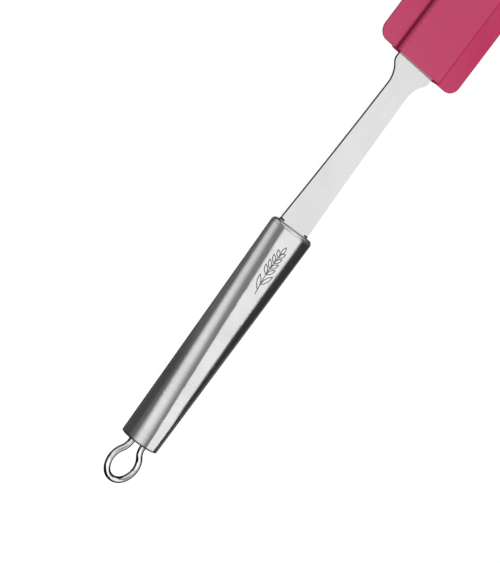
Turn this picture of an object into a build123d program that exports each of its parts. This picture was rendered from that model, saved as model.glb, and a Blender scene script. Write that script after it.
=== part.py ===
"""Straight silicone spatula with a hollow steel handle and a wire hanging loop.

Frame: +X from handle to tip, +Y left, +Z up, millimetres.  The tool lies on z = 0, on the
underside of the head's thick middle and on the rear rim of the handle.  The origin is the
middle of the whole tool's bounding box, at the bottom.
"""
from build123d import *
from math import atan2, cos, degrees, radians, sin, sqrt
import os

os.makedirs("parts", exist_ok=True)

# ---------------------------------------------------------------- driving dimensions
# Handle: a steel tube, round at the rear and pressed to a crowned oval at the front.
handle_length = 126.0
handle_rear_radius = 10.0
handle_front_half_width = 12.75
handle_front_half_height = 4.8
handle_front_side_radius = 3.8
handle_tilt = 2.15
wall = 0.8
seat_share = 0.75
rear_rim_round = 0.55
front_rim_round = 0.25
front_cap_length = 2.4
front_cap_round = 2.2
front_cap_skirt = 3.5
rear_cap_thickness = 1.0
rear_cap_skirt = 3.5

# Blade: one stamped strip, which is tang, neck and the stiffening core of the head.
strip_thickness = 1.5
strip_below_axis = 0.6
tang_length = 28.0
tang_half_width = 6.8
shoulder_gap = 0.9
shoulder_round = 1.0
neck_length = 97.0
neck_root_half_width = 8.95
neck_middle = (42.0, 7.48)
neck_waist = (82.5, 6.55)
flare_radius = 13.0
flare_turn = 45.0
tongue_round = 3.9
core_length = 68.0
core_end_round = 8.0
lock_hole_radius = 2.5
lock_hole_pitch = 15.0
lock_hole_rows = 4
lock_hole_spread = 11.0

# Head: silicone moulded round the core, the same above and below, with a thick panel down
# the middle, a thin wing on each side and a thin lip at the tip.
head_length = 92.0
head_half_width = 27.2
head_rear_corner = 6.0
head_tip_corner = 9.0
head_tip_bow = 2.5
panel_half_height = 4.25
panel_top_half_width = 14.75
panel_foot_half_width = 15.6
panel_top_round = 1.8
panel_foot_round = 0.8
panel_ramp_start = 62.0
panel_ramp_end = 79.0
panel_ramp_round = 8.0
wing_root_half_height = 0.9
wing_edge_half_height = 0.45
edge_round = 0.4

# Hanging loop: one bent wire, hinged by its two outturned feet inside the handle.
wire_radius = 1.6
leg_spacing = 7.4
leg_arc_radius = 8.0
side_arc_radius = 10.0
side_arc_centre = (13.1, -2.35)
end_arc_radius = 7.0
hinge_depth = 4.2
foot_bend_radius = 2.2
foot_end = 8.0
slot_clearance = 0.3
slot_half_height = 3.05

# Bracket that holds the feet of the loop behind the rear cap.
ear_inner = 6.4
ear_thickness = 1.0
bracket_half_width = 3.4
bracket_depth = 7.4
bearing_clearance = 0.05

# Weld beads in the gaps between the neck's shoulders and the front cap.
weld_offset = 8.0
weld_width = 2.8
weld_height = 2.1
weld_length = 1.15
weld_round = 0.45

# ---------------------------------------------------------------- worked-out places
tilt = radians(handle_tilt)
axis = Vector(cos(tilt), 0, -sin(tilt))
axis_up = Vector(sin(tilt), 0, cos(tilt))

side_to_end = side_arc_radius - end_arc_radius
end_arc_centre = side_arc_centre[0] + sqrt(side_to_end**2 - side_arc_centre[1] ** 2)
loop_reach = (end_arc_centre + end_arc_radius) * cos(tilt) + wire_radius
strip_offset_x = strip_below_axis * sin(tilt)
handle_reach = handle_length * cos(tilt) - strip_offset_x
total_length = loop_reach + handle_reach + neck_length + head_length

rear_x = loop_reach - total_length / 2
rear_centre = Vector(rear_x, 0, handle_rear_radius * cos(tilt))
front_centre = rear_centre + axis * handle_length
neck_start = front_centre - axis_up * strip_below_axis
head_x = neck_start.X + neck_length
tip_x = head_x + head_length
neck_slope = (neck_start.Z - panel_half_height) / neck_length

handle_plane = Plane(origin=rear_centre, x_dir=(0, 1, 0), z_dir=axis)
hinge_plane = Plane(origin=rear_centre + axis * hinge_depth, x_dir=axis, z_dir=(0, 1, 0))
loop_plane = Plane(origin=rear_centre, x_dir=-axis, z_dir=axis_up)


# ---------------------------------------------------------------- handle sections
def crown_radius_at_front():
    """Radius of the oval's flat arcs, which meet its side arcs without a corner."""
    a, b, r = handle_front_half_width, handle_front_half_height, handle_front_side_radius
    return ((a - r) ** 2 + b**2 - r**2) / (2 * (b - r))


def section_arcs(distance, inset):
    """The four arcs of the handle's oval at a distance from the rear, drawn inwards by an
    inset.  From one section to the next each arc keeps its angles, so straight lines join
    points where both sections face the same way."""
    share = distance / handle_length
    crown_end = crown_radius_at_front()
    side_end = handle_front_side_radius
    side_centre = share * (handle_front_half_width - side_end)
    crown_centre = share * (crown_end - handle_front_half_height)
    crown = (1 - share) * handle_rear_radius + share * crown_end - inset
    side = (1 - share) * handle_rear_radius + share * side_end - inset
    half = degrees(atan2(
        handle_front_half_width - side_end,
        crown_end - handle_front_half_height,
    ))
    with BuildLine(handle_plane.offset(distance)):
        top = CenterArc((0, -crown_centre), crown, 90 - half, 2 * half)
        left = CenterArc((-side_centre, 0), side, 90 + half, 180 - 2 * half)
        bottom = CenterArc((0, crown_centre), crown, 270 - half, 2 * half)
        right = CenterArc((side_centre, 0), side, 270 + half, 180 - 2 * half)
    return [arc.edge() for arc in (top, left, bottom, right)]


def handle_loft(start, end, inset=0.0):
    """Solid between two of the handle's sections, with straight lines along its sides."""
    first = section_arcs(start, inset)
    last = section_arcs(end, inset)
    sides = [Face.make_surface_from_curves(a, b) for a, b in zip(first, last)]
    return Solid(Shell([Face(Wire(first)), Face(Wire(last)), *sides]))


tube_end = handle_length - front_cap_length
seat_inset = seat_share * wall

# ---------------------------------------------------------------- handle tube
with BuildPart() as handle_tube:
    add(handle_loft(0, tube_end))
    add(handle_loft(0, tube_end, wall), mode=Mode.SUBTRACT)
    rear_face = handle_tube.faces().sort_by(Axis(rear_centre, axis))[0]
    fillet(rear_face.outer_wire().edges(), rear_rim_round)
    front_face = handle_tube.faces().sort_by(Axis(rear_centre, axis))[-1]
    fillet(front_face.outer_wire().edges(), front_rim_round)
handle_tube.part.label = "handle_tube"


# ---------------------------------------------------------------- blade strip
def strip_side_view():
    """Outline of the strip seen from the side: sloping tang and neck, level core."""
    half = strip_thickness / 2
    middle = panel_half_height
    tang_x = neck_start.X - tang_length
    tang_z = neck_start.Z + neck_slope * tang_length
    core_x = head_x + core_length
    lower = [(tang_x, tang_z - half), (head_x, middle - half), (core_x, middle - half)]
    upper = [(x, z + strip_thickness) for x, z in reversed(lower)]
    return lower + upper


def strip_half_outline(side):
    """One long edge of the strip from the tang's end to the core's end, seen from above."""
    x = neck_start.X
    core_x = head_x + core_length
    root_x = x + shoulder_gap
    root_y = side * neck_root_half_width
    waist = (x + neck_waist[0], side * neck_waist[1])
    middle = (x + neck_middle[0], side * neck_middle[1])
    Polyline(
        (x - tang_length, 0),
        (x - tang_length, side * tang_half_width),
        (root_x, side * tang_half_width),
        (root_x, root_y - side * shoulder_round),
    )
    corner = (root_x + shoulder_round, root_y)
    RadiusArc((root_x, root_y - side * shoulder_round), corner, side * shoulder_round)
    edge = ThreePointArc(corner, middle, waist)
    taper = abs(degrees(atan2((edge % 1).Y, (edge % 1).X)))
    flare = JernArc(waist, edge % 1, flare_radius, side * (flare_turn + taper))
    tongue = JernArc(flare @ 1, flare % 1, tongue_round, -side * flare_turn)
    tongue_y = (tongue @ 1).Y
    round_start = (core_x - core_end_round, tongue_y)
    Line(tongue @ 1, round_start)
    round_end = (core_x, tongue_y - side * core_end_round)
    RadiusArc(round_start, round_end, side * core_end_round)
    Line(round_end, (core_x, 0))


with BuildPart() as blade_core:
    with BuildSketch(Plane.XZ):
        with BuildLine():
            Polyline(*strip_side_view(), close=True)
        make_face()
    extrude(amount=head_half_width, both=True)
    with BuildSketch(Plane.XY):
        with BuildLine():
            strip_half_outline(1)
            strip_half_outline(-1)
        make_face()
        with Locations((head_x + core_length / 2, 0)):
            with GridLocations(lock_hole_pitch, lock_hole_spread, lock_hole_rows, 2):
                Circle(lock_hole_radius, mode=Mode.SUBTRACT)
    extrude(amount=handle_rear_radius, mode=Mode.INTERSECT)
blade_core.part.label = "blade_core"

# ---------------------------------------------------------------- front cap
skirt_start = tube_end - front_cap_skirt
with BuildPart() as front_cap:
    add(handle_loft(skirt_start, tube_end, seat_inset))
    add(handle_loft(skirt_start, tube_end, 2 * wall), mode=Mode.SUBTRACT)
    add(handle_tube.part, mode=Mode.SUBTRACT)
    add(handle_loft(tube_end, handle_length))
    front_face = front_cap.faces().sort_by(Axis(rear_centre, axis))[-1]
    fillet(front_face.outer_wire().edges(), front_cap_round)
    add(blade_core.part, mode=Mode.SUBTRACT)
front_cap.part.label = "front_cap"


# ---------------------------------------------------------------- neck welds
def neck_weld(side, label):
    """Bead that fills the gap between one shoulder of the neck and the front cap."""
    with BuildPart() as weld:
        with BuildSketch(handle_plane.offset(handle_length)):
            with Locations((side * weld_offset, -strip_below_axis)):
                SlotOverall(weld_width, weld_height)
        extrude(amount=weld_length)
        outer_face = weld.faces().sort_by(Axis(rear_centre, axis))[-1]
        fillet(outer_face.outer_wire().edges(), weld_round)
        add(blade_core.part, mode=Mode.SUBTRACT)
    weld.part.label = label
    return weld.part


neck_weld_left = neck_weld(1, "neck_weld_left")
neck_weld_right = neck_weld(-1, "neck_weld_right")

# ---------------------------------------------------------------- rear cap
leg_y = leg_spacing / 2
with BuildPart() as rear_cap:
    add(handle_loft(0, rear_cap_skirt, seat_inset))
    add(handle_loft(rear_cap_thickness, rear_cap_skirt, 2 * wall), mode=Mode.SUBTRACT)
    add(handle_tube.part, mode=Mode.SUBTRACT)
    with BuildSketch(handle_plane):
        with Locations((leg_y, 0), (-leg_y, 0)):
            SlotOverall(2 * slot_half_height, 2 * (wire_radius + slot_clearance), rotation=90)
    extrude(amount=rear_cap_thickness, mode=Mode.SUBTRACT)
rear_cap.part.label = "rear_cap"

# ---------------------------------------------------------------- loop bracket
ear_outer = ear_inner + ear_thickness
strap_plane = Plane(origin=rear_centre, x_dir=axis, z_dir=axis_up)
with BuildPart() as loop_bracket:
    with BuildSketch(strap_plane):
        with Locations((rear_cap_thickness, 0)):
            depth = bracket_depth - rear_cap_thickness
            Rectangle(depth, 2 * ear_outer, align=(Align.MIN, Align.CENTER))
            inside = depth - ear_thickness
            Rectangle(inside, 2 * ear_inner, align=(Align.MIN, Align.CENTER), mode=Mode.SUBTRACT)
    extrude(amount=bracket_half_width, both=True)
    with BuildSketch(hinge_plane):
        Circle(wire_radius + bearing_clearance)
    extrude(amount=ear_outer, both=True, mode=Mode.SUBTRACT)
loop_bracket.part.label = "loop_bracket"


# ---------------------------------------------------------------- hanging loop
def loop_half(side):
    """Half of the loop's centre line, from a foot to the rearmost point of the eye."""
    side_x, side_y = side_arc_centre
    leg_arc_y = leg_y + leg_arc_radius
    reach = side_arc_radius + leg_arc_radius
    leg_arc_x = side_x - sqrt(reach**2 - (leg_arc_y - side_y) ** 2)
    turn = degrees(atan2(leg_arc_y - side_y, side_x - leg_arc_x))
    meet = degrees(atan2(-side_y, end_arc_centre - side_x))
    bend_x = foot_bend_radius - hinge_depth
    bend_y = leg_y + foot_bend_radius
    Line((-hinge_depth, side * foot_end), (-hinge_depth, side * bend_y))
    CenterArc((bend_x, side * bend_y), foot_bend_radius, 180, side * 90)
    Line((bend_x, side * leg_y), (leg_arc_x, side * leg_y))
    CenterArc((leg_arc_x, side * leg_arc_y), leg_arc_radius, -side * 90, side * (90 - turn))
    CenterArc((side_x, side * side_y), side_arc_radius, side * meet, side * (180 - turn - meet))
    CenterArc((end_arc_centre, 0), end_arc_radius, 0, side * meet)


with BuildPart() as hanging_loop:
    with BuildLine(loop_plane) as loop_path:
        loop_half(1)
        loop_half(-1)
    path = loop_path.wire()
    with BuildSketch(Plane(origin=path @ 0, z_dir=path % 0)):
        Circle(wire_radius)
    sweep(path=path)
hanging_loop.part.label = "hanging_loop"


# ---------------------------------------------------------------- silicone head
def head_section():
    """Cross-section of the head: a thick panel with drafted walls between two thin wings."""
    half = [
        (head_half_width, wing_edge_half_height),
        (panel_foot_half_width, wing_root_half_height),
        (panel_top_half_width, panel_half_height),
    ]
    upper = half + [(-y, z) for y, z in reversed(half)]
    lower = [(y, -z) for y, z in reversed(upper)]
    with BuildSketch(Plane.YZ.offset(head_x)) as section:
        with Locations((0, panel_half_height)):
            Polygon(*upper, *lower, align=None)
        corners = section.vertices().group_by(Axis.X)
        fillet(corners[2] + corners[3], panel_top_round)
        corners = section.vertices().group_by(Axis.X)
        fillet(corners[1] + corners[-2], panel_foot_round)
    return section.sketch


def head_side_view():
    """Side view of the head: level panel, ramps down to a lip that thins to the tip."""
    half = [
        (head_x, panel_half_height),
        (head_x + panel_ramp_start, panel_half_height),
        (head_x + panel_ramp_end, wing_root_half_height),
        (tip_x, wing_edge_half_height),
    ]
    outline = half + [(x, -z) for x, z in reversed(half)]
    with BuildSketch(Plane.XZ) as side_view:
        with Locations((0, panel_half_height)):
            Polygon(*outline, align=None)
        columns = side_view.vertices().group_by(Axis.X)
        fillet(columns[1] + columns[2], panel_ramp_round)
    return side_view.sketch


def head_outline():
    """Plan of the head: square rear with small corners, gently bowed tip."""
    side_end = tip_x - head_tip_bow
    with BuildSketch(Plane.XY) as outline:
        with BuildLine():
            Polyline(
                (side_end, -head_half_width),
                (head_x, -head_half_width),
                (head_x, head_half_width),
                (side_end, head_half_width),
            )
            ThreePointArc((side_end, head_half_width), (tip_x, 0), (side_end, -head_half_width))
        make_face()
        fillet(outline.vertices().sort_by(Axis.X)[:2], head_rear_corner)
        fillet(outline.vertices().sort_by(Axis.X)[-2:], head_tip_corner)
    return outline.sketch


with BuildPart() as silicone_head:
    extrude(head_section(), amount=head_length)
    extrude(head_side_view(), amount=head_half_width, both=True, mode=Mode.INTERSECT)
    extrude(head_outline(), amount=2 * panel_half_height, mode=Mode.INTERSECT)
    rear_face = silicone_head.faces().sort_by(Axis.X)[0]
    fillet(rear_face.outer_wire().edges(), edge_round)
    add(blade_core.part, mode=Mode.SUBTRACT)
silicone_head.part.label = "silicone_head"

# ---------------------------------------------------------------- files
pieces = [
    handle_tube.part,
    front_cap.part,
    rear_cap.part,
    loop_bracket.part,
    hanging_loop.part,
    blade_core.part,
    neck_weld_left,
    neck_weld_right,
    silicone_head.part,
]
for piece in pieces:
    export_step(piece, f"parts/{piece.label}.step")
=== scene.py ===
"""Looks for the silicone spatula: materials, an etched sprig, studio light and camera."""

from math import cos, pi, radians, sin

import bpy
from mathutils import Matrix, Vector
from mathutils.bvhtree import BVHTree


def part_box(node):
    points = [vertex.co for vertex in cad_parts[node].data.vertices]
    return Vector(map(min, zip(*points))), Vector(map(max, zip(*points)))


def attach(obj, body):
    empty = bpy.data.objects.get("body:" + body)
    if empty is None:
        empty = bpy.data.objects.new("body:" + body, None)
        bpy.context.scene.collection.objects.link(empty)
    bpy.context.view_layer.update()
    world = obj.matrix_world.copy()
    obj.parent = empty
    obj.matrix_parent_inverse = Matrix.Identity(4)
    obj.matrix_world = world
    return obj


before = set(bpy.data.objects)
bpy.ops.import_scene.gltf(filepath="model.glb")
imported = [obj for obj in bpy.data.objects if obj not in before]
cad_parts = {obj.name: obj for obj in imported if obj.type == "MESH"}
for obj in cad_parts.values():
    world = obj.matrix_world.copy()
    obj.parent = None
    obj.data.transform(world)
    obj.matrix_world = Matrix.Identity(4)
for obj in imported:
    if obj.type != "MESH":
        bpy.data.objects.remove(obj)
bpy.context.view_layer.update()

# ---------------------------------------------------------------- camera
AIM = Vector((-0.0524, 0.0015, 0.005))
CAMERA_AZIMUTH = 174.664
CAMERA_ELEVATION = 59.696
CAMERA_ROLL = 131.713
CAMERA_DISTANCE = 0.69067
LENS = 92.03


def show(piece):
    """Adds an object to the scene and returns it."""
    bpy.context.scene.collection.objects.link(piece)
    return piece


def make_camera():
    """Camera over the tool's left side, rolled so that the tip is up."""
    azimuth, elevation = radians(CAMERA_AZIMUTH), radians(CAMERA_ELEVATION)
    back = Vector((
        sin(azimuth) * cos(elevation),
        -cos(azimuth) * cos(elevation),
        sin(elevation),
    ))
    roll = Matrix.Rotation(radians(CAMERA_ROLL), 3, "Z")
    turn = back.to_track_quat("Z", "Y").to_matrix() @ roll
    data = bpy.data.cameras.new("camera")
    data.lens = LENS
    camera = show(bpy.data.objects.new("camera", data))
    camera.matrix_world = Matrix.Translation(AIM + back * CAMERA_DISTANCE) @ turn.to_4x4()
    bpy.context.scene.camera = camera


# ---------------------------------------------------------------- material helpers
# Colour sockets of a Mix node: its two inputs and its output.
MIX_LOW, MIX_HIGH, MIX_RESULT = 6, 7, 2


class Nodes:
    """A material with a helper to add nodes and one to join them."""

    def __init__(self, name):
        self.material = bpy.data.materials.new(name)
        self.material.use_nodes = True
        self.tree = self.material.node_tree
        self.shader = self.tree.nodes["Principled BSDF"]

    def add(self, kind, **inputs):
        node = self.tree.nodes.new(kind)
        for key, value in inputs.items():
            node.inputs[key.replace("_", " ")].default_value = value
        return node

    def join(self, source, target, socket):
        self.tree.links.new(source, target.inputs[socket])


def grey(shade):
    """A colour with all three parts the same."""
    return (shade, shade, shade)


def noise(nodes, stretch, scale, detail):
    """Noise in the part's own coordinates, stretched by a factor along each axis."""
    place = nodes.add("ShaderNodeTexCoord")
    mapping = nodes.add("ShaderNodeMapping", Scale=stretch)
    nodes.join(place.outputs["Object"], mapping, "Vector")
    texture = nodes.add("ShaderNodeTexNoise", Scale=scale, Detail=detail)
    nodes.join(mapping.outputs["Vector"], texture, "Vector")
    return texture.outputs["Fac"]


def spread(nodes, value, source, target):
    """Maps a value from one range to another and stops at the ends."""
    ramp = nodes.add(
        "ShaderNodeMapRange",
        From_Min=source[0],
        From_Max=source[1],
        To_Min=target[0],
        To_Max=target[1],
    )
    nodes.join(value, ramp, "Value")
    return ramp.outputs["Result"]


def mix_colours(nodes, amount, low, high):
    """Mixes two colours, each given as three numbers or as another node's output."""
    mix = nodes.add("ShaderNodeMix")
    mix.data_type = "RGBA"
    for socket, colour in ((MIX_LOW, low), (MIX_HIGH, high)):
        if isinstance(colour, tuple):
            mix.inputs[socket].default_value = (*colour, 1)
        else:
            nodes.join(colour, mix, socket)
    nodes.join(amount, mix, 0)
    return mix.outputs[MIX_RESULT]


def bump(nodes, height, strength, distance):
    """Gives the surface a fine relief from a height."""
    node = nodes.add("ShaderNodeBump", Strength=strength, Distance=distance)
    nodes.join(height, node, "Height")
    nodes.join(node.outputs["Normal"], nodes.shader, "Normal")


def turned(nodes, axis, start, end):
    """0 where the surface's normal has the start value along an axis, 1 where the end value."""
    place = nodes.add("ShaderNodeTexCoord")
    parts = nodes.add("ShaderNodeSeparateXYZ")
    nodes.join(place.outputs["Normal"], parts, "Vector")
    return spread(nodes, parts.outputs[axis], (start, end), (0, 1))


def reached(nodes, direction, start, end):
    """0 where a point is at the start value along a direction, 1 where at the end value."""
    place = nodes.add("ShaderNodeTexCoord")
    distance = nodes.add("ShaderNodeVectorMath")
    distance.operation = "DOT_PRODUCT"
    distance.inputs[1].default_value = direction
    nodes.join(place.outputs["Object"], distance, 0)
    return spread(nodes, distance.outputs["Value"], (start, end), (0, 1))


def outlined(nodes, start, end):
    """0 where the surface faces the view, 1 near its outline."""
    weight = nodes.add("ShaderNodeLayerWeight")
    return spread(nodes, weight.outputs["Facing"], (start, end), (0, 1))


# ---------------------------------------------------------------- materials
PATCH_SCALE = 60.0
GRAIN_SCALE = 1500.0
GRAIN_RELIEF = 0.00002
STREAK_DARKENING = 0.8
ROUND_THE_HANDLE = (1.0, 0.05, 0.05)
ALONG_THE_BLADE = (0.05, 1.0, 1.0)
EVEN = (1.0, 1.0, 1.0)

# The handle's axis, which drops to the front, and where its rear end is along that axis.
HANDLE_TILT = radians(2.15)
HANDLE_AXIS = (cos(HANDLE_TILT), 0.0, -sin(HANDLE_TILT))
HANDLE_REAR = -0.14594

RASPBERRY_LOW = (0.420, 0.010, 0.080)
RASPBERRY_HIGH = (0.450, 0.016, 0.090)


def steel(
    name, shades, roughness, stretch, strength,
    scale=GRAIN_SCALE, streak=0.3, painted_shade_masks=(), painted_edge_shade=0.0,
):
    """Steel with grain stretched along one direction, and patches of another shade.  Each mask
    gives where painted shade darkens the metal to the painted edge shade."""
    nodes = Nodes(name)
    nodes.shader.inputs["Metallic"].default_value = 1.0
    nodes.shader.inputs["Specular Tint"].default_value = (*grey(0.9), 1)
    grain = noise(nodes, stretch, scale, 4.0)
    patches = noise(nodes, EVEN, PATCH_SCALE, 2.0)
    low, high = shades
    patchy = spread(nodes, patches, (0.3, 0.7), (0, 1))
    colour = mix_colours(nodes, patchy, grey(low), grey(high))
    streaks = spread(nodes, grain, (0.35, 0.65), (0, streak))
    colour = mix_colours(nodes, streaks, colour, grey(STREAK_DARKENING * low))
    # Painted shade: each mask darkens the metal towards the painted edge shade.
    for edge in painted_shade_masks:
        colour = mix_colours(nodes, edge(nodes), colour, grey(painted_edge_shade))
    nodes.join(colour, nodes.shader, "Base Color")
    nodes.join(spread(nodes, grain, (0.3, 0.7), roughness), nodes.shader, "Roughness")
    bump(nodes, grain, strength, GRAIN_RELIEF)
    return nodes


def silicone(name):
    """Satin raspberry silicone, slightly clouded and finely textured, duller at its rear end."""
    nodes = Nodes(name)
    clouds = noise(nodes, EVEN, 35.0, 3.0)
    colour = mix_colours(nodes, clouds, RASPBERRY_LOW, RASPBERRY_HIGH)
    nodes.join(colour, nodes.shader, "Base Color")
    nodes.shader.inputs["Specular IOR Level"].default_value = 0.9
    finish = spread(nodes, clouds, (0.3, 0.7), (0.19, 0.24))
    rear_end = spread(nodes, turned(nodes, "X", -0.3, -0.8), (0, 1), (0, 0.36))
    rougher = nodes.add("ShaderNodeMath")
    rougher.operation = "MAXIMUM"
    nodes.join(finish, rougher, 0)
    nodes.join(rear_end, rougher, 1)
    nodes.join(rougher.outputs["Value"], nodes.shader, "Roughness")
    bump(nodes, noise(nodes, EVEN, 2500.0, 2.0), 0.12, 0.00004)
    return nodes


def painted_rear_rim_shade(nodes):
    """Painted shade on the rounded edge at the rear of the handle, where it turns towards the
    rear.
    """
    return turned(nodes, "X", -0.06, -0.2)


def painted_rear_band_shade(nodes):
    """Painted shade on the last stretch of the handle's side, next to its rear edge."""
    return reached(nodes, HANDLE_AXIS, HANDLE_REAR + 0.001, HANDLE_REAR + 0.0006)


def painted_strip_left_shade(nodes):
    """Painted shade on the thin left side of the blade's strip."""
    return turned(nodes, "Y", 0.5, 0.8)


def painted_strip_right_shade(nodes):
    """Painted shade on the thin right side of the blade's strip."""
    return turned(nodes, "Y", -0.5, -0.8)


def painted_wire_outline_shade(nodes):
    """Painted shade on the parts of the wire that turn away from the view."""
    return outlined(nodes, 0.14, 0.34)


def paint(node, nodes):
    """Gives a CAD node one material."""
    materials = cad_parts[node].data.materials
    materials.clear()
    materials.append(nodes.material)


# The handle's rear rim and the stretch beside it are painted dark: a painted shade line.
handle_steel = steel(
    "handle_steel", (0.80, 0.88), (0.05, 0.11), ROUND_THE_HANDLE, 0.15,
    streak=0.25, painted_shade_masks=(painted_rear_rim_shade, painted_rear_band_shade), painted_edge_shade=0.1,
)
cap_steel = steel("cap_steel", (0.70, 0.76), (0.16, 0.24), EVEN, 0.1)
# The blade strip's thin sides are painted darker: painted shade.
blade_steel = steel(
    "blade_steel", (0.76, 0.81), (0.07, 0.13), ALONG_THE_BLADE, 0.05,
    streak=0.08, painted_shade_masks=(painted_strip_left_shade, painted_strip_right_shade), painted_edge_shade=0.28,
)
# The wire is painted dark near its outline, where it turns from the view: painted shade.
loop_wire = steel(
    "loop_wire", (0.97, 1.0), (0.02, 0.05), EVEN, 0.03,
    scale=400.0, streak=0.05, painted_shade_masks=(painted_wire_outline_shade,), painted_edge_shade=0.03,
)
# Dark edge tint: painted shade along the wire's outline.
loop_wire.shader.inputs["Specular Tint"].default_value = (*grey(0.1), 1)
# The welds are painted dark: partly their own dull weld metal, partly painted shadow in the gap
# where the neck enters the front cap.
weld_steel = steel("weld_steel", (0.14, 0.20), (0.35, 0.5), EVEN, 0.5)
etched_steel = steel("etched_steel", (0.12, 0.17), (0.35, 0.45), EVEN, 0.3)

paint("handle_tube", handle_steel)
paint("front_cap", handle_steel)
paint("rear_cap", cap_steel)
paint("loop_bracket", cap_steel)
paint("hanging_loop", loop_wire)
paint("blade_core", blade_steel)
paint("neck_weld_left", weld_steel)
paint("neck_weld_right", weld_steel)
paint("silicone_head", silicone("silicone"))

# ---------------------------------------------------------------- etched sprig
SPRIG_BACK = 0.0335
SPRIG_LENGTH = 0.0265
SPRIG_SIDE = 0.0004
STEM_SHARE = 0.84
STEM_BOW = 0.0012
LINE_WIDTH = 0.00044
LINE_PROUD = 0.00002
LINE_DEEP = 0.00005
ABOVE_THE_HANDLE = 0.01

# Each leaf's place along the stem, angle in degrees, length and half width.
LEAVES = (
    (0.09, 27, 0.0078, 0.0010),
    (0.19, -29, 0.0074, 0.0010),
)
GRAIN_PAIRS = 4
FIRST_GRAIN, GRAIN_STEP = 0.40, 0.125
GRAIN_LENGTH, GRAIN_SHRINK = 0.0052, 0.0004
GRAIN_ANGLE = 38
GRAIN_HALF_WIDTH = 0.00085
TOP_GRAIN_LENGTH = 0.0044
TOP_GRAIN_ANGLE = -5


def stem_point(share):
    """Point of the sprig's gently curved stem, from 0 at its foot to 1 at its tip."""
    return Vector((SPRIG_LENGTH * share, STEM_BOW * sin(pi * share) - STEM_BOW / 2))


def leaf(share, angle, length, half_width):
    """Closed outline of a leaf or grain that grows from the stem at an angle in degrees."""
    steps = 14
    foot = stem_point(share)
    along = Vector((cos(radians(angle)), sin(radians(angle))))
    across = Vector((-along.y, along.x))
    there = [(i / steps, 1) for i in range(steps)]
    back = [(1 - i / steps, -1) for i in range(steps)]
    return [
        foot + along * length * part + across * side * half_width * sin(pi * part)
        for part, side in there + back
    ]


def sprig_strokes():
    """Lines of the sprig as (points, closed): a stem, leaves, paired grains and a top grain."""
    steps = 30
    strokes = [([stem_point(i / steps * STEM_SHARE) for i in range(steps + 1)], False)]
    for shape in LEAVES:
        strokes.append((leaf(*shape), True))
    for i in range(GRAIN_PAIRS):
        share = FIRST_GRAIN + GRAIN_STEP * i
        length = GRAIN_LENGTH - GRAIN_SHRINK * i
        for angle in (GRAIN_ANGLE, -GRAIN_ANGLE):
            strokes.append((leaf(share, angle, length, GRAIN_HALF_WIDTH), True))
    top = leaf(STEM_SHARE, TOP_GRAIN_ANGLE, TOP_GRAIN_LENGTH, GRAIN_HALF_WIDTH)
    strokes.append((top, True))
    return strokes


def etch_sprig():
    """Thin closed bands laid on the handle's crown along the sprig's lines."""
    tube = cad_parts["handle_tube"].data
    places = [vertex.co for vertex in tube.vertices]
    surface = BVHTree.FromPolygons(places, [face.vertices for face in tube.polygons])
    low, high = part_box("handle_tube")
    start = Vector((high[0] - SPRIG_BACK, SPRIG_SIDE))
    down = Vector((0, 0, -1))
    profile = ((1, -LINE_DEEP), (1, LINE_PROUD), (-1, LINE_PROUD), (-1, -LINE_DEEP))
    corners = len(profile)
    points, faces = [], []

    def lay(place, rise):
        above = Vector((place.x, place.y, high[2] + ABOVE_THE_HANDLE))
        hit = surface.ray_cast(above, down)[0]
        points.append((hit.x, hit.y, hit.z + rise))

    for stroke, closed in sprig_strokes():
        first = len(points)
        count = len(stroke)
        for i, place in enumerate(stroke):
            before = stroke[i - 1] if i or closed else place
            after = stroke[(i + 1) % count] if i < count - 1 or closed else place
            along = (after - before).normalized()
            across = Vector((-along.y, along.x)) * LINE_WIDTH / 2
            for side, rise in profile:
                lay(start + place + across * side, rise)
        for i in range(count if closed else count - 1):
            here = first + corners * i
            there = first + corners * ((i + 1) % count)
            for j in range(corners):
                k = (j + 1) % corners
                faces.append((here + j, here + k, there + k, there + j))
        if not closed:
            last = first + corners * (count - 1)
            faces.append([first + j for j in reversed(range(corners))])
            faces.append([last + j for j in range(corners)])
    mesh = bpy.data.meshes.new("etched_sprig")
    mesh.from_pydata(points, [], faces)
    mesh.materials.append(etched_steel.material)
    sprig = show(bpy.data.objects.new("etched_sprig", mesh))
    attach(sprig, "tool")


etch_sprig()

# ---------------------------------------------------------------- floor and light
SURROUNDINGS = 0.14

# Sheets that the steel mirrors, bent round the tool's length.  Each row is a place along X,
# the angles between which the glow rises, the angles between which it falls again, and its
# strength.  Angles are in degrees about the X axis, from +Y through +Z.
SIDE_CARD = (
    (-0.21, 114, 118, 165, 171, 0.96),
    (-0.166, 111, 115, 149, 154, 0.96),
    (-0.143, 107.5, 111.5, 141.5, 145.5, 0.96),
    (-0.084, 103.5, 107.5, 135.5, 139.5, 0.96),
    (-0.03, 101.5, 105.5, 133, 137, 0.96),
    (0.08, 100, 104, 131.5, 135.5, 0.96),
    (0.19, 100, 104, 131.5, 135.5, 0.96),
    (0.215, 113.5, 119, 121, 126, 0.96),
    (0.29, 113.5, 119, 121, 126, 0.96),
    (0.33, 100, 104, 134, 138, 0.96),
    (0.62, 100, 104, 136, 142, 0.96),
    (0.7, 100, 104, 160, 174, 0.7),
    (1.6, 100, 104, 160, 174, 0.6),
)
FRONT_CARD = (
    (-0.34, 14, 50, 108, 122, 1.05),
    (-0.29, 14, 56, 64, 120, 0.86),
    (-0.23, 14, 56, 64, 120, 0.86),
    (-0.19, 7, 46, 63, 119, 0.86),
    (-0.16, 1, 42, 61, 118, 0.86),
    (-0.11, -9, 43, 59, 117, 0.86),
    (-0.06, -24, 40, 54, 116, 0.8),
    (-0.03, -30, 28, 48, 117, 0.72),
    (0.08, -30, 28, 36, 119, 0.62),
)
LEFT_FLAG = (
    (-0.23, -75, -62, -16, 10, 0.07),
    (-0.16, -75, -62, -16, 10, 0.135),
)
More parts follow.
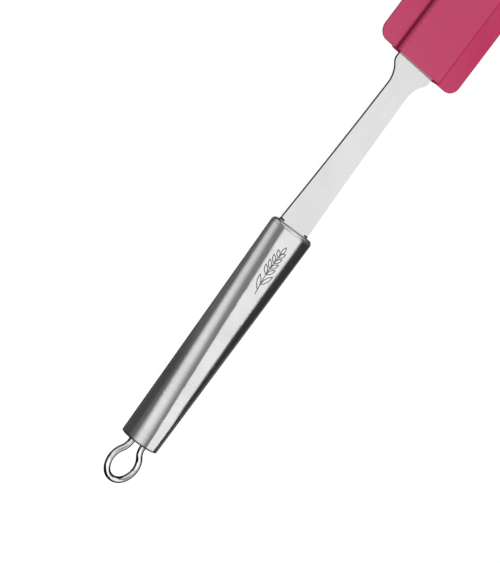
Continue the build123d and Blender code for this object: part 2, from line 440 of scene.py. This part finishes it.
RIGHT_FLAG = (
    (-0.21, 150, 151, 178, 200, 0.035),
    (-0.14, 125, 126, 168, 196, 0.035),
    (0.17, 120, 121, 166, 196, 0.04),
    (0.2, 126, 132, 190, 215, 0.22),
    (0.32, 126, 132, 190, 215, 0.22),
    (0.36, 120, 121, 166, 196, 0.04),
)
UNDER_FLAG = (
    (-0.2, 206, 216, 272, 290, 0.015),
    (0.2, 206, 216, 272, 290, 0.015),
)


def smooth_step(low, high, value):
    """0 below low, 1 above high, and a smooth rise between."""
    share = min(max((value - low) / (high - low), 0.0), 1.0)
    return share * share * (3 - 2 * share)


def between(stations, x):
    """The numbers of a list of stations at a place along X."""
    if x <= stations[0][0]:
        return stations[0][1:]
    for first, second in zip(stations, stations[1:]):
        if x <= second[0]:
            share = (x - first[0]) / (second[0] - first[0])
            return tuple(a + (b - a) * share for a, b in zip(first[1:], second[1:]))
    return stations[-1][1:]


def glowing_sheet(name, points, faces, glow):
    """Staged sheet, seen only in mirrors, whose glow is given at each point."""
    mesh = bpy.data.meshes.new(name)
    mesh.from_pydata(points, [], faces)
    mesh.attributes.new("glow", "FLOAT", "POINT").data.foreach_set("value", glow)
    nodes = Nodes(name)
    level = nodes.add("ShaderNodeAttribute")
    level.attribute_name = "glow"
    emission = nodes.add("ShaderNodeEmission")
    nodes.join(level.outputs["Fac"], emission, "Strength")
    nodes.join(emission.outputs["Emission"], nodes.tree.nodes["Material Output"], "Surface")
    mesh.materials.append(nodes.material)
    sheet = show(bpy.data.objects.new(name, mesh))
    sheet.visible_camera = False
    sheet.visible_diffuse = False
    sheet.visible_shadow = False


def card(name, stations, x_range, radius):
    """Sheet bent round the tool's length, bright or dark as its stations say."""
    columns, rows = 120, 90
    points, faces, glow = [], [], []
    for i in range(columns + 1):
        x = x_range[0] + (x_range[1] - x_range[0]) * i / columns
        rise_start, rise_end, fall_start, fall_end, strength = between(stations, x)
        for j in range(rows + 1):
            turn = rise_start + (fall_end - rise_start) * j / rows
            points.append((x, radius * cos(radians(turn)), radius * sin(radians(turn))))
            rise = smooth_step(rise_start, rise_end, turn)
            fall = smooth_step(fall_start, fall_end, turn)
            glow.append(SURROUNDINGS + (strength - SURROUNDINGS) * rise * (1 - fall))
    for i in range(columns):
        for j in range(rows):
            a = i * (rows + 1) + j
            faces.append((a, a + 1, a + rows + 2, a + rows + 1))
    glowing_sheet(name, points, faces, glow)


def make_end_flag():
    """Black disc behind the handle, mirrored in the rear rim and in the loop."""
    radius, sides, x, glow = 0.95, 48, -1.0, 0.01
    turns = [2 * pi * i / sides for i in range(sides)]
    points = [(x, radius * cos(turn), radius * sin(turn)) for turn in turns]
    glowing_sheet("end_flag", points, [range(sides)], [glow] * sides)


def lamp(name, place, size, power):
    """Large soft lamp that lights the tool but isn't mirrored in it."""
    data = bpy.data.lights.new(name, "AREA")
    data.shape = "DISK"
    data.size = size
    data.energy = power
    light = show(bpy.data.objects.new(name, data))
    light.location = place
    light.rotation_euler = (AIM - Vector(place)).to_track_quat("-Z", "Y").to_euler()
    light.visible_glossy = False


def make_floor():
    """White glowing floor under the tool, which the steel doesn't mirror."""
    half, drop = 4.0, 0.0001
    points = [(half * x, half * y, -drop) for x, y in ((-1, -1), (1, -1), (1, 1), (-1, 1))]
    mesh = bpy.data.meshes.new("floor")
    mesh.from_pydata(points, [], [range(len(points))])
    nodes = Nodes("floor_white")
    nodes.shader.inputs["Base Color"].default_value = (*grey(0.05), 1)
    nodes.shader.inputs["Roughness"].default_value = 0.9
    nodes.shader.inputs["Emission Color"].default_value = (*grey(1.0), 1)
    nodes.shader.inputs["Emission Strength"].default_value = 0.98
    mesh.materials.append(nodes.material)
    floor = show(bpy.data.objects.new("floor", mesh))
    floor.visible_glossy = False
    floor.visible_diffuse = False


def make_world():
    """Even grey surroundings."""
    world = bpy.data.worlds.new("studio")
    world.use_nodes = True
    background = world.node_tree.nodes["Background"]
    background.inputs["Color"].default_value = (*grey(SURROUNDINGS), 1)
    bpy.context.scene.world = world


make_camera()
make_floor()
make_world()
card("side_card", SIDE_CARD, x_range=(-0.9, 1.6), radius=0.8)
card("right_flag", RIGHT_FLAG, x_range=(-0.9, 1.6), radius=0.82)
card("under_flag", UNDER_FLAG, x_range=(-1.6, 1.6), radius=0.84)
card("front_card", FRONT_CARD, x_range=(-0.9, 1.2), radius=0.85)
card("left_flag", LEFT_FLAG, x_range=(-0.9, 1.2), radius=0.87)
make_end_flag()
lamp("key", place=(0.1, -0.2, 1.5), size=0.8, power=19.5)
lamp("rear", place=(-1.2, -0.3, 0.5), size=0.6, power=9.0)
bpy.context.scene.view_settings.view_transform = "Standard"
